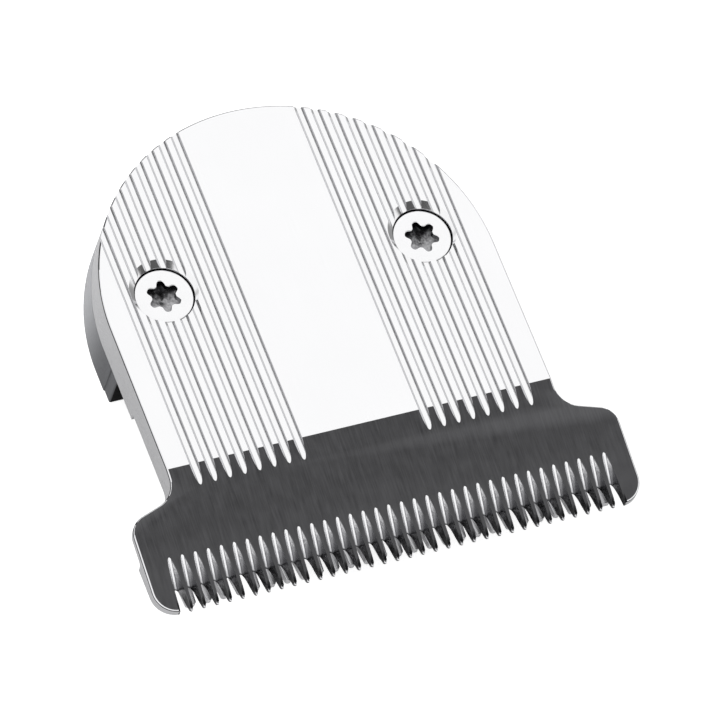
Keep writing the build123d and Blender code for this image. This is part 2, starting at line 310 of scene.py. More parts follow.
# Floor of a gap, ground down from the band: bright, with streaks that follow the groove, painted greyer near its
# lower end, and a painted shadow line where it leaves the underside.
GAP = Finish("steel_wheel_ground_gap_painted_shadow", "FAFAFC", 1.0, 0.13, (0.04, 1.4, 1.4), 0.04, 0.04, 0.0001, 1.0, 0.2,
             painted_blends=(PaintedBlend((0, 0, -1), -4.70, -4.32, "CCCCCE"), PaintedBlend((0, 0, -1), -4.30, -4.21, "343436")))
# Wall of a gap, with painted reflections: bright near the root, then painted grey, painted dark where it only sees
# the cutter, with a painted grey upper edge.
GAP_WALL = Finish("steel_gap_wall_painted_reflections", "FAFAFC", 1.0, 0.18, (0.25, 0.50, 0.05), 0.24, 0.05, 0.0002, 1.0, 0.2,
                  painted_blends=(PaintedBlend((0, -1, 0), 15.8, 17.2, "8C8C8E", 0.8, (0.10, 0.20, 0.08)),
                          PaintedBlend((0, -1, 0), 17.9, 18.8, "1C1C1E", 0.6, (0.10, 0.20, 0.08)),
                          painted_under_band(0.11, 0.02, "808082")))
# Flank of a point: honed dull, with crossed marks along its upper edge, and painted black below as its own shade.
FLANK = Finish("steel_honed_flank_painted_shade", "7C7C7E", 0.35, 0.36, (0.12, 0.24, 0.07), 0.70, 0.06, 0.0004, 1.0, 0.15, 0.3,
               painted_blends=(painted_under_band(0.32, 0.95, "0A0A0C", 0.40, (0.14, 0.30, 0.10)),))
# Foot of a gap's wall: a little rougher, and painted dark as a shade line in the crease between floor and wall.
FOOT = Finish("steel_gap_foot_painted_shade", "58585A", 1.0, 0.30, (1.0, 1.0, 0.05), 0.10, 0.05, 0.0002, 1.0, 0.3)
# Lip of the countersink: turned as bright as the face, with rings of the tool.
LIP = Finish("steel_turned_lip", "F6F6F7", 1.0, 0.12, (0.4, 0.4, 0.05), 0.03, 0.03, 0.0001, 1.0, 0.3)
# Wall and seat of the countersink: dull, and painted dark as the shade in the gap beside the screw head.
SEAT = Finish("steel_turned_seat_painted_shade", "E6E6E8", 1.0, 0.30, (0.4, 0.4, 0.05), 0.06, 0.05, 0.0002, 1.0, 0.3,
              painted_blends=(PaintedBlend((0, 0, -1), -6.19, -6.13, "0C0C0E"),))
# Cutter teeth: hardened and ground, with a streaky satin look.
CUTTER = Finish("steel_hardened_ground_cutter", "C4C4C6", 1.0, 0.22, (0.06, 1.2, 1.0), 0.40, 0.06, 0.0003, 1.5,
                0.3)
# Screw: cold-headed, tumbled and bright.
SCREW = Finish("steel_cold_headed_screw", "FAFAFB", 1.0, 0.12, (0.3, 0.3, 0.3), 0.02, 0.03, 0.0001, 1.5, 0.5)
# Side and underside of the head and the shank: painted dark as the shade of the narrow gaps in which they are
# seen.
SHANK = Finish("steel_screw_side_painted_shade", "2A2A2C", 1.0, 0.40, (0.3, 0.3, 0.1), 0.06, 0.05, 0.0002, 1.0, 0.4)
# Screw recess: formed by the punch, bright on the side towards the teeth, and painted dark as its own shade on the
# other side.
RECESS = Finish("steel_punched_recess_painted_shade", "A8A8AA", 1.0, 0.24, (0.2, 0.2, 0.2), 0.35, 0.05, 0.0003, 0.6, 0.4,
                painted_blends=(PaintedBlend((0, 1, 0), 5.2, 7.0, "2E2E30", 0.9, (0.25, 0.25, 0.25)),))
# Spring strip: rolled, satin.
SPRING = Finish("steel_rolled_spring", "A6A6AA", 1.0, 0.26, (0.06, 3.0, 0.06), 0.05, 0.05, 0.0002, 3.0, 0.3)
# Carrier: glass-filled nylon, moulded in a spark-eroded tool, so dull and finely pitted, with painted light
# that makes it paler towards the round end.
CARRIER = Finish("nylon_spark_textured_painted_light", "48494C", 0.0, 0.52, (0.12, 0.12, 0.4), 0.16, 0.06, 0.010, 4.0, 0.3,
                 painted_blends=(PaintedBlend((0, 1, 0), 2.5, 9.5, "9A9B9E"),))
# Front faces of the carrier: the same plastic painted almost black, with little sheen, as the painted shade under
# the comb.
SHADE = Finish("nylon_front_painted_shade", "0C0C0E", 0.0, 0.60, (0.12, 0.12, 0.4), 0.08, 0.06, 0.004, 4.0, 0.4, 0.05)
# Driver: natural white acetal, moulded smooth.
DRIVER = Finish("acetal_moulded_smooth", "CCC9C2", 0.0, 0.38, (0.6, 0.6, 0.6), 0.04, 0.04, 0.001, 3.0, 0.4)


def rounded_path(corners: Sequence[tuple[float, float]], radii: Sequence[float], steps: int = 10) -> Array:
    """Closed outline of straight runs, with a tangent arc in each corner.

    The arc's centre lies on the bisector of the corner, radius / sin(half angle) from it.

    Args:
        corners: Corner points in order.
        radii: Radius at each corner, 0 for a sharp one.
        steps: Segments of each arc.

    Returns:
        Points of the outline, one row each.
    """
    points = np.array(corners, float)
    runs = []
    for here, before, after, radius in zip(points, np.roll(points, 1, 0), np.roll(points, -1, 0), radii):
        if radius <= 0:
            runs.append(here[None])
            continue
        u = (before - here) / np.linalg.norm(before - here)
        v = (after - here) / np.linalg.norm(after - here)
        half = math.acos(float(np.clip(u @ v, -1, 1))) / 2
        centre = here + (u + v) / np.linalg.norm(u + v) * radius / math.sin(half)
        first, last = here + u * radius / math.tan(half) - centre, here + v * radius / math.tan(half) - centre
        start = math.atan2(first[1], first[0])
        turn = (math.atan2(last[1], last[0]) - start + math.pi) % (2 * math.pi) - math.pi
        angles = start + turn * np.linspace(0, 1, steps + 1)
        runs.append(centre + radius * np.stack([np.cos(angles), np.sin(angles)], 1))
    return np.concatenate(runs)


def rectangle(x: Span, y: Span, radii: float | Sequence[float] = 0.0, steps: int = 5) -> Array:
    """Anticlockwise outline of a rectangle, with one radius for all corners or one for each from low left on."""
    corners = [(x[0], y[0]), (x[1], y[0]), (x[1], y[1]), (x[0], y[1])]
    return rounded_path(corners, np.broadcast_to(radii, 4), steps)


def around(middle: float, half: float) -> Span:
    """Span that reaches equally far to both sides of a middle."""
    return middle - half, middle + half


def mirrored(right: Sequence[Span]) -> list[Span]:
    """Points of an outline's right side once more on its left, in the order that closes it."""
    return [(-x, y) for x, y in reversed(right)]


def circle_angles(count: int) -> Array:
    """Angles of evenly spaced points round a circle."""
    return np.arange(count) / count * 2 * math.pi


def sagitta(radius: float, offset: Array) -> Array:
    """Depth of an arc under its highest point at an offset from there, r - sqrt(r^2 - d^2)."""
    return radius - np.sqrt(radius ** 2 - offset ** 2)


def inset(path: Array, distance: float) -> Array:
    """Moves a closed anticlockwise outline inwards.

    Each point moves along the mean of its two edge normals, by distance / cos(half the turn).

    Args:
        path: Points of the outline.
        distance: How far, negative for outwards.

    Returns:
        As many points, moved.
    """
    ahead = np.roll(path, -1, 0) - path
    ahead /= np.maximum(np.linalg.norm(ahead, axis=1, keepdims=True), 1e-12)
    behind = np.roll(ahead, 1, 0)
    normal = np.stack([-ahead[:, 1] - behind[:, 1], ahead[:, 0] + behind[:, 0]], 1)
    normal /= np.maximum(np.linalg.norm(normal, axis=1, keepdims=True), 1e-12)
    stretch = np.clip(-normal[:, 0] * ahead[:, 1] + normal[:, 1] * ahead[:, 0], 0.5, 1.0)
    return path + normal * (distance / stretch)[:, None]


def shell_of_rings(rings: Array, splits: Sequence[Sequence[int] | None] = (None, None)) -> Hull:
    """Skin over a stack of closed rings, with a cap at each end.

    The surface is a grid: one parameter runs round the ring and the other from ring to ring.

    Args:
        rings: Stack of rings, as [ring, point, xyz].
        splits: Two places on the first and on the last ring where its cap is creased, or None for a flat cap.

    Returns:
        Vertices, quads and cap polygons.
    """
    count, size = rings.shape[:2]
    here = np.arange(size)
    following = np.roll(here, -1)
    below = np.arange(count - 1)[:, None] * size
    above = below + size
    quads = np.stack([below + here, below + following, above + following, above + here], -1).reshape(-1, 4)
    caps: list[list[int]] = []
    for base, split, flip in ((0, splits[0], True), ((count - 1) * size, splits[1], False)):
        loops = [here] if split is None else [np.arange(split[0], split[1] + 1),
                                              np.arange(split[1], split[0] + size + 1) % size]
        caps += [(base + (loop[::-1] if flip else loop)).tolist() for loop in loops]
    return outward((rings.reshape(-1, 3), quads, caps))


def outward(hull: Hull) -> Hull:
    """Turns a closed surface so that its faces point outwards.

    The signed volume is a sixth of the sum of a . (b x c) over the triangles; where it is negative, every face is
    reversed.

    Args:
        hull: A closed surface.

    Returns:
        The same surface with outward faces.
    """
    points, quads, caps = hull
    fans = [np.stack([np.full(len(c) - 2, c[0]), c[1:-1], c[2:]], 1) for c in map(np.array, caps)]
    triangles = np.concatenate([quads[:, [0, 1, 2]], quads[:, [0, 2, 3]], *fans])
    a, b, c = (points[triangles[:, i]] for i in range(3))
    if float((a * np.cross(b, c)).sum()) < 0:
        return points, quads[:, ::-1], [cap[::-1] for cap in caps]
    return hull


def level(height: Level, path: Array) -> Array:
    """Heights over the points of an outline, from a number or a function of Y."""
    return height(path[:, 1]) if callable(height) else np.full(len(path), float(height))


def prism(outline: Array, low: Level, high: Level, low_round: float = 0.0, high_round: float = 0.0,
          steps: int = 4, creases: Sequence[float | None] = (None, None)) -> Hull:
    """Plate with rounded edges.

    A quarter circle is carried along the outline below and above, so the ring at angle a lies
    round * (1 - sin a) inside the outline and round * (1 - cos a) from the end face.

    Args:
        outline: Anticlockwise outline seen from above.
        low: Level of the lower face.
        high: Level of the upper face.
        low_round: Radius of the lower edge.
        high_round: Radius of the upper edge.
        steps: Segments of each quarter circle.
        creases: Place along Y where the lower and the upper face bend, if they do.

    Returns:
        The closed surface.
    """
    angles = np.linspace(0, math.pi / 2, steps + 1)
    rings = []
    for height, size, side in ((low, low_round, 1.0), (high, high_round, -1.0)):
        if size <= 0:
            stack = [np.column_stack([outline, level(height, outline)])]
        else:
            insets = size * (1 - np.sin(angles))
            rises = size * (1 - np.cos(angles))
            paths = [inset(outline, float(d)) for d in insets]
            stack = [np.column_stack([p, level(height, p) + side * r]) for p, r in zip(paths, rises)]
        rings += stack if side > 0 else stack[::-1]
    splits = [None if y is None else crease_points(outline, y) for y in creases]
    return shell_of_rings(np.array(rings), splits=splits)


def crease_points(outline: Array, y: float) -> tuple[int, int]:
    """The two points of an outline that lie at one place along Y, by their order in it."""
    found = np.flatnonzero(np.abs(outline[:, 1] - y) < 1e-6)
    return int(found[0]), int(found[-1])


def turned(profile: Sequence[tuple[float | Array, float]], centre: Span, count: int = 48) -> Hull:
    """Surface of revolution about a vertical axis.

    Every profile point makes a circle of its own radius at its own height.

    Args:
        profile: Radius and height of each ring, from the lower end up; the radius may differ round the ring.
        centre: Place of the axis in X and Y.
        count: Points of each ring.

    Returns:
        The closed surface.
    """
    cos, sin = np.cos(circle_angles(count)), np.sin(circle_angles(count))
    rings = [np.column_stack([centre[0] + r * cos, centre[1] + r * sin, np.full(count, z)]) for r, z in profile]
    return shell_of_rings(np.array(rings))


def bar(section: Array, half: float) -> Hull:
    """Straight bar along X, from -half to half, whose section gives Y and Z."""
    return shell_of_rings(np.array([np.column_stack([np.full(len(section), x), section]) for x in (-half, half)]))


def copies_along_x(hull: Hull, places: Array) -> Hull:
    """The same closed surface at several places along X, as one surface of separate shells."""
    points, quads, caps = hull
    return joined(*[(points + np.array([x, 0.0, 0.0]), quads, caps) for x in places])


def joined(*hulls: Hull) -> Hull:
    """Several closed surfaces as one, each still a shell of its own."""
    shift = np.cumsum([0] + [len(h[0]) for h in hulls])
    points = np.concatenate([h[0] for h in hulls])
    quads = np.concatenate([h[1] + s for h, s in zip(hulls, shift)])
    return points, quads, [[i + int(s) for i in cap] for h, s in zip(hulls, shift) for cap in h[2]]


def box(x: Span, y: Span, z: Span) -> Hull:
    """Sharp-edged block between two values on each axis."""
    return prism(rectangle(x, y), *z)


def to_object(name: str, hull: Hull) -> Piece:
    """Makes a Blender object of a surface given in millimetres.

    Args:
        name: Name of the object.
        hull: Vertices, quads and caps.

    Returns:
        The object at the origin, in metres.
    """
    points, quads, caps = hull
    mesh = bpy.data.meshes.new(name)
    mesh.from_pydata((points * MM).tolist(), [], quads.tolist() + caps)
    mesh.validate()
    made = bpy.data.objects.new(name, mesh)
    bpy.context.scene.collection.objects.link(made)
    return made


def carve(piece: Piece, operation: str, *hulls: Hull) -> None:
    """Cuts surfaces out of a piece, or adds or intersects them, and applies the result to its mesh.

    Args:
        piece: Object that is changed.
        operation: DIFFERENCE, UNION or INTERSECT.
        hulls: The surfaces to use, in order.
    """
    for hull in hulls:
        tool = to_object("tool", hull)
        change = piece.modifiers.new("carve", "BOOLEAN")
        change.operation, change.object, change.solver = operation, tool, "MANIFOLD"
        graph = bpy.context.evaluated_depsgraph_get()
        result = bpy.data.meshes.new_from_object(piece.evaluated_get(graph))
        piece.modifiers.clear()
        old, piece.data = piece.data, result
        name = old.name
        bpy.data.meshes.remove(old)
        result.name = name
        spare = tool.data
        bpy.data.objects.remove(tool)
        bpy.data.meshes.remove(spare)


def whole(data: bpy.types.bpy_prop_collection, name: str, kind: type, width: int = 1) -> Array:
    """One property of all vertices, edges, corners or faces of a mesh as one array, in rows where it has parts."""
    values = np.zeros(len(data) * width, kind)
    data.foreach_get(name, values)
    return values.reshape(-1, width) if width > 1 else values


@dataclass
class Faces:
    """Normals and middles of a mesh's faces, as whole arrays in millimetres."""

    mesh: bpy.types.Mesh
    normal: Array = field(init=False)
    middle: Array = field(init=False)

    def __post_init__(self) -> None:
        """Reads both arrays from the mesh."""
        self.normal = whole(self.mesh.polygons, "normal", np.float32, 3)
        self.middle = whole(self.mesh.polygons, "center", np.float32, 3) / MM


def dress(piece: Piece, finishes: Sequence[Finish], choice: Array | None = None, crease: float = 30.0) -> None:
    """Gives each face its finish, shades the piece smooth and keeps its real edges sharp.

    An edge stays sharp where its two faces differ by more than the crease angle, or in their finish.

    Args:
        piece: Object to dress.
        finishes: The finishes in the order of the numbers in choice.
        choice: Number of the finish of each face, or None where the first one covers the whole piece.
        crease: Angle in degrees.
    """
    if choice is None:
        choice = np.zeros(len(piece.data.polygons), int)
    mesh = piece.data
    mesh.materials.clear()
    for finish in finishes:
        mesh.materials.append(bpy.data.materials.get(finish.name) or finish.material())
    mesh.polygons.foreach_set("material_index", choice.astype(np.int32))
    mesh.shade_smooth()
    mesh.set_sharp_from_angle(angle=math.radians(crease))
    edges = whole(mesh.loops, "edge_index", np.int32)
    owner = np.repeat(choice.astype(np.int32), whole(mesh.polygons, "loop_total", np.int32))
    least = np.full(len(mesh.edges), len(finishes), np.int32)
    most = np.full(len(mesh.edges), -1, np.int32)
    np.minimum.at(least, edges, owner)
    np.maximum.at(most, edges, owner)
    marks = mesh.attributes.get("sharp_edge") or mesh.attributes.new("sharp_edge", "BOOLEAN", "EDGE")
    marks.data.foreach_set("value", whole(marks.data, "value", bool) | (least != most))
    mesh.update()


def place(piece: Piece, body: str, slot: str, *nodes: str) -> None:
    """Puts a finished piece on its body, in the place of its CAD nodes.

    Args:
        piece: The finished piece.
        body: CAD body that it rides on.
        slot: The record's material slot; not used.
        nodes: CAD nodes that it stands for.
    """
    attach(piece, body)
    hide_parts(*nodes)
    log.info("%s rides on %s with %d faces", piece.name, body, len(piece.data.polygons))


class Zone(IntEnum):
    """Zones of the comb blade, in the order of its finishes."""

    EDGE = 0
    POLISHED = 1
    GROUND = 2
    FLUTE = 3
    FLUTE_WALL = 4
    GAP = 5
    GAP_WALL = 6
    NOSE = 7
    POINT = 8
    LIP = 9
    SEAT = 10
    FOOT = 11
    FLANK = 12
    ROUND = 13
    CORNER = 14


COMB_FINISHES = (EDGE, POLISHED, GROUND, FLUTE, FLUTE_WALL, GAP, GAP_WALL, NOSE, POINT, LIP, SEAT, FOOT, FLANK,
                 ROUND, CORNER)


@dataclass(frozen=True)
class ZoneLimits:
    """What tells the comb's zones apart: limits of the parts of the unit normal, and lengths in millimetres."""

    flush: float = 0.004
    sunk: float = 0.003
    margin: float = 0.01
    corner_nz: float = 0.1
    round_nz: float = 0.55
    dome_ny: float = 0.15
    dome_round_nz: float = 0.93
    face_nz: float = 0.999
    band_nz: float = 0.98
    back_nz: float = -0.9
    flute_front: float = -11.0
    flute_ny: float = 0.02
    flute_nz: float = 0.1
    flute_wall_nx: float = 0.58
    hole_nz: float = -0.5
    row_rear: float = -14.9
    row_margin: float = 0.5
    wall_nx: float = 0.74
    foot_nx: float = 0.62
    upright_nx: float = 0.9
    flank_ny: float = -0.1
    point_ny: float = -0.35
    point_nz: float = 0.15
    point_length: float = 0.35
    nose_flush: float = 0.006
    nose_nz: float = 0.8
    nose_nx: float = 0.02


LIMIT = ZoneLimits()


@dataclass
class CombBlade:
    """Fixed blade: plate, flutes, countersinks and the row of comb teeth."""

    half_head: float = 20.0
    shoulder_y: float = -10.80
    shoulder_drop: float = 1.30
    ear_y: float = -19.40
    neck_fillet: float = 2.00
    shoulder_radius: float = 1.60
    ear_radius: float = 1.80
    edge_round: float = 0.13
    lower_round: float = 0.08
    dome_steps: int = 180
    corner_steps: int = 14
    gap_count: int = 35
    gap_pitch: float = 1.052
    root_y: float = -15.27
    gap_slope: float = math.radians(31.6)
    gap_half_mouth: float = 0.47
    gap_opening: float = 0.54
    gap_depth: float = 1.95
    gap_span: Span = (-0.3, 5.60)
    gap_steps: int = 22
    gap_crowding: float = 2.2
    tip_radius: float = 0.11
    tip_flare: float = 0.16
    tip_length: float = 1.45
    tip_under: float = 0.3
    tip_stations: tuple[float, ...] = (0, 0.03, 0.055, 0.08, 0.098, 0.11, 0.17, 0.25, 0.34, 0.42)
    nose_length: float = 0.85
    nose_drop: float = 0.16
    nose_top: float = 0.12
    nose_bottom: float = 0.30
    nose_lead: float = 0.03
    nose_past: float = 0.15
    nose_side: float = 0.55
    nose_lift: float = 0.01
    nose_rear_height: float = 0.6
    flute_count: int = 8
    flute_pitch: float = 1.21
    flute_first: float = 5.17
    flute_radius: float = 0.385
    flute_steps: int = 64
    flute_depth: float = 0.28
    flute_span: Span = (-12.0, 22.0)
    bore_radius: float = 1.40
    seat_radius: float = 2.37
    seat_z: float = 5.98
    lip_z: float = 6.39
    mouth_radius: float = 2.69
    mouth_shift: float = 0.29
    mouth_steps: int = 120
    relief_rear: float = -11.75
    relief_front: float = -15.10
    relief_wall: float = 0.62
    relief_round: float = 0.4
    crease: float = 24.0

    @property
    def half_row(self) -> float:
        """Distance from the middle of the row to the outermost gap."""
        return (self.gap_count - 1) / 2 * self.gap_pitch

    def row(self, count: int) -> Array:
        """Places along X of a centred row of gaps or teeth."""
        return (np.arange(count) - (count - 1) / 2) * self.gap_pitch

    def flute_row(self) -> Array:
        """Places along X of all flutes, in two groups beside the smooth middle."""
        right = self.flute_first + np.arange(self.flute_count) * self.flute_pitch
        return np.concatenate([-right[::-1], right])

    def nose_fall(self, away: Array) -> Array:
        """Depth of the stoned nose under the band, drop (s / length)^2, at the distance s from its start."""
        return self.nose_drop * (away / self.nose_length) ** 2

    def outline(self) -> Array:
        """Outline seen from the front.

        Returns:
            Half circle of the dome, then straight neck, filleted shoulder, head and rounded ear on each side.
        """
        r, head = AT.dome_radius, self.half_head
        right = [(head, self.ear_y), (head, self.shoulder_y - self.shoulder_drop), (r, self.shoulder_y),
                 (r, AT.ground_y)]
        dome = AT.dome(self.dome_steps)
        radii = [self.ear_radius, self.shoulder_radius, self.neck_fillet, 0.0]
        corners = right + dome + mirrored(right)
        return rounded_path(corners, radii + [0.0] * len(dome) + radii[::-1], self.corner_steps)

    def tooth_row(self) -> Hull:
        """Block between the ears, under the ground band, from which the teeth are cut."""
        return prism(rectangle(around(0, self.half_row), (AT.tip_y, AT.tip_y + PAST)), AT.seat, AT.top)

    def running_space(self) -> Hull:
        """Space of the cutter: everything under the running face in front of the guide step."""
        return box(around(0, BEYOND), (-BEYOND, AT.step_y), (0, AT.run))

    def relief(self) -> Hull:
        """Clearance behind the tooth land, parallel to the band.

        Returns:
            A bar along X whose upper face lies one wall thickness under the band, with rounded upper corners.
        """
        front, rear = self.relief_front, self.relief_rear
        corners = [(front, AT.run - PAST), (rear, AT.run - PAST),
                   (rear, AT.top(rear) - self.relief_wall), (front, AT.top(front) - self.relief_wall)]
        return bar(rounded_path(corners, [0, 0, self.relief_round, self.relief_round], 8), BEYOND)

    def grooves(self) -> Hull:
        """Straight groove at every gap.

        At the height h over its bottom the section is mouth * tanh(opening * sqrt(h) / mouth) wide on each side:
        round at the bottom, with sides that bulge and grow steeper. It slides down the slope from the root.

        Returns:
            One straight body per gap.
        """
        climb = self.gap_depth * np.linspace(0, 1, self.gap_steps) ** self.gap_crowding
        side = self.gap_half_mouth * np.tanh(self.gap_opening * np.sqrt(climb) / self.gap_half_mouth)
        x, rise = np.concatenate([-side[:0:-1], side]), np.concatenate([climb[:0:-1], climb])
        cos, sin = math.cos(self.gap_slope), math.sin(self.gap_slope)
        root_z = AT.top(self.root_y)
        rings = [np.column_stack([x, self.root_y - reach * cos - rise * sin, root_z - reach * sin + rise * cos])
                 for reach in self.gap_span]
        return copies_along_x(shell_of_rings(np.array(rings)), self.row(self.gap_count))

    def nose_trim(self) -> Hull:
        """What is taken off the top of the teeth near their points.

        The lower face of the trim leaves the band at nose_length behind the tips and follows nose_fall from there.

        Returns:
            A bar over the whole row.
        """
        past = np.linspace(self.nose_lead, self.nose_length + self.nose_past, 14)
        away = np.concatenate([[-self.nose_lead], past])
        y = AT.tip_y + self.nose_length - away
        z = AT.top(y) - self.nose_fall(away)
        z[0] += self.nose_lift
        above = [[y[-1], z[-1] + PAST], [y[0], z[0] + self.nose_rear_height]]
        section = np.concatenate([np.stack([y, z], 1), above])
        return bar(section, self.half_row + self.nose_side)

    def tip_trim(self) -> Hull:
        """What is rounded off in front of the teeth.

        Seen from above each tooth ends in an arc of tip_radius and then widens evenly, so the trim's face lies
        at y(x, z) = tip + [r - sqrt(r^2 - d^2)] + (d - r) / flare + nose(z), where d is the distance to the
        middle of the tooth and nose(z) is the same quarter circle at the upper and the lower edge.

        Returns:
            One body over the whole row.
        """
        teeth, half = self.gap_count - 1, self.gap_pitch / 2
        aside = np.array([*self.tip_stations, half])
        offsets = np.concatenate([-aside[:0:-1], aside[:-1]])
        x = (self.row(teeth)[:, None] + offsets).ravel()
        x = np.append(x, x[0] + teeth * self.gap_pitch)
        off = np.append(np.tile(np.abs(offsets), teeth), half)
        inner = np.minimum(off, self.tip_radius)
        plan = sagitta(self.tip_radius, inner) + (off - inner) / self.tip_flare
        plan = np.minimum(plan, self.tip_length)
        low_end, top = AT.run + self.nose_bottom, AT.top(AT.tip_y) - self.nose_drop
        z = np.concatenate([[AT.run - self.tip_under], np.linspace(AT.run, low_end, 8),
                            np.linspace(top - self.nose_top, top, 7), [top + PAST]])
        low = np.clip(low_end - z, 0, self.nose_bottom)
        high = np.clip(z - top + self.nose_top, 0, self.nose_top)
        nose = sagitta(self.nose_bottom, low) + sagitta(self.nose_top, high)
        face = AT.tip_y + plan[:, None] + nose[None]
        back = np.full(face.shape, AT.tip_y - PAST)
        y = np.concatenate([back, face[:, ::-1]], 1)
        rings = np.stack([np.broadcast_to(x[:, None], y.shape), y,
                          np.broadcast_to(np.concatenate([z, z[::-1]]), y.shape)], -1)
        return shell_of_rings(rings[:, ::-1])

    def flutes(self) -> Hull:
        """Round-nosed grooves along Y.

        Returns:
            One long cylinder per flute; where the band falls away, each runs out by itself in a leaf shape.
        """
        turn = circle_angles(self.flute_steps)[::-1]
        x = self.flute_radius * np.cos(turn)
        z = AT.face - self.flute_depth + self.flute_radius * (1 + np.sin(turn))
        rings = [np.column_stack([x, np.full(len(x), y), z]) for y in self.flute_span]
        return copies_along_x(shell_of_rings(np.array(rings)), self.flute_row())

    def countersinks(self) -> list[Hull]:
        """Bore, 90 degree seat, short straight wall and lip at both screws.

        The circle of the lip's edge lies mouth_shift nearer the dome than the axis, so the lip is widest there.

        Returns:
            One closed surface per screw.
        """
        angle = circle_angles(self.mouth_steps)
        seat = self.seat_radius - self.bore_radius
        stack = [(self.bore_radius, 0.0, AT.seat - PAST), (self.bore_radius, 0.0, self.seat_z - seat),
                 (self.seat_radius, 0.0, self.seat_z), (self.seat_radius, 0.0, self.lip_z),
                 (self.mouth_radius, self.mouth_shift, AT.face),
                 (self.mouth_radius, self.mouth_shift, AT.face + PAST)]
        rings = np.array([np.column_stack([r * np.cos(angle), r * np.sin(angle) + shift, np.full(len(angle), z)])
                          for r, shift, z in stack])
        return [shell_of_rings(rings + np.array([s * AT.screw_x, AT.screw_y, 0.0])) for s in SIDES]

    def zones(self, faces: Faces) -> Array:
        """Chooses the zone of each face by where it lies.

        Args:
            faces: Normals and middles of the piece's faces.

        Returns:
            One number of Zone per face.
        """
        x, y, z = faces.middle.T
        nx, ny, nz = faces.normal.T
        zone = np.full(len(x), Zone.EDGE, int)
        under = AT.top(y) - z
        # Polished face, ground band and the rounding beside them.
        lies, rim = np.abs(under) < LIMIT.flush, under < self.edge_round
        zone[rim & (nz > LIMIT.corner_nz)] = Zone.CORNER
        zone[rim & (nz > np.where(ny > LIMIT.dome_ny, LIMIT.dome_round_nz, LIMIT.round_nz))] = Zone.ROUND
        zone[lies & (nz > LIMIT.face_nz) & (y > AT.ground_y)] = Zone.POLISHED
        zone[lies & (nz > LIMIT.band_nz) & (y < AT.ground_y)] = Zone.GROUND
        # Flutes.
        nearest = np.abs(x[:, None] - self.flute_row()[None]).min(1)
        fluted = (nearest < self.flute_radius + LIMIT.margin) & (under > LIMIT.sunk)
        fluted &= (np.abs(ny) < LIMIT.flute_ny) & (nz > LIMIT.flute_nz)
        fluted &= (y > LIMIT.flute_front) & (z > AT.face - self.flute_depth - LIMIT.margin)
        zone[fluted] = np.where(np.abs(nx[fluted]) > LIMIT.flute_wall_nx, Zone.FLUTE_WALL, Zone.FLUTE)
        # Countersinks.
        away = np.hypot(np.abs(x) - AT.screw_x, y - AT.screw_y)
        hole = (away < self.mouth_radius + self.mouth_shift) & (under > LIMIT.sunk) & (nz > LIMIT.hole_nz)
        hole &= ~fluted & (z > AT.seat + LIMIT.margin)
        zone[hole] = np.where(away[hole] > self.seat_radius + LIMIT.flush, Zone.LIP, Zone.SEAT)
        # Tooth row: gaps, flanks and points, and the stoned noses.
        row = (y < LIMIT.row_rear) & (np.abs(x) < self.half_row + LIMIT.row_margin)
        row &= (zone != Zone.GROUND) & (nz > LIMIT.back_nz)
        lower = np.where(nx[row] < -LIMIT.foot_nx, Zone.FOOT, Zone.GAP)
        zone[row] = np.where(nx[row] < -LIMIT.wall_nx, Zone.GAP_WALL, lower)
        flank = row & (np.abs(nx) > LIMIT.upright_nx) & (ny < LIMIT.flank_ny)
        zone[flank & (y < AT.tip_y + self.tip_length)] = Zone.FLANK
        front = row & (ny < LIMIT.point_ny) & (np.abs(nx) < LIMIT.upright_nx)
        front &= y < AT.tip_y + LIMIT.point_length
        zone[front] = np.where(nz[front] > LIMIT.point_nz, Zone.POINT, Zone.FLANK)
        past = np.clip(AT.tip_y + self.nose_length - y, 0, None)
        nose = row & (past > 0) & (np.abs(under - self.nose_fall(past)) < LIMIT.nose_flush)
        zone[nose & (nz > LIMIT.nose_nz) & (np.abs(nx) < LIMIT.nose_nx)] = Zone.NOSE
        # Back of the plate.
        zone[nz < LIMIT.back_nz] = Zone.GROUND
        return zone

    def build(self) -> Piece:
        """Builds, cuts and dresses the comb blade.

        Returns:
            The finished piece.
        """
        body = prism(self.outline(), AT.seat, AT.top, self.lower_round, self.edge_round, 5, (None, AT.ground_y))
        piece = to_object("comb_plate", body)
        carve(piece, "UNION", self.tooth_row())
        carve(piece, "DIFFERENCE", self.running_space(), self.relief(), self.flutes(),
              *self.countersinks(), self.grooves(), self.nose_trim(), self.tip_trim())
        dress(piece, COMB_FINISHES, self.zones(Faces(piece.data)), self.crease)
        place(piece, "root", "polished_steel", "comb_blade")
        return piece


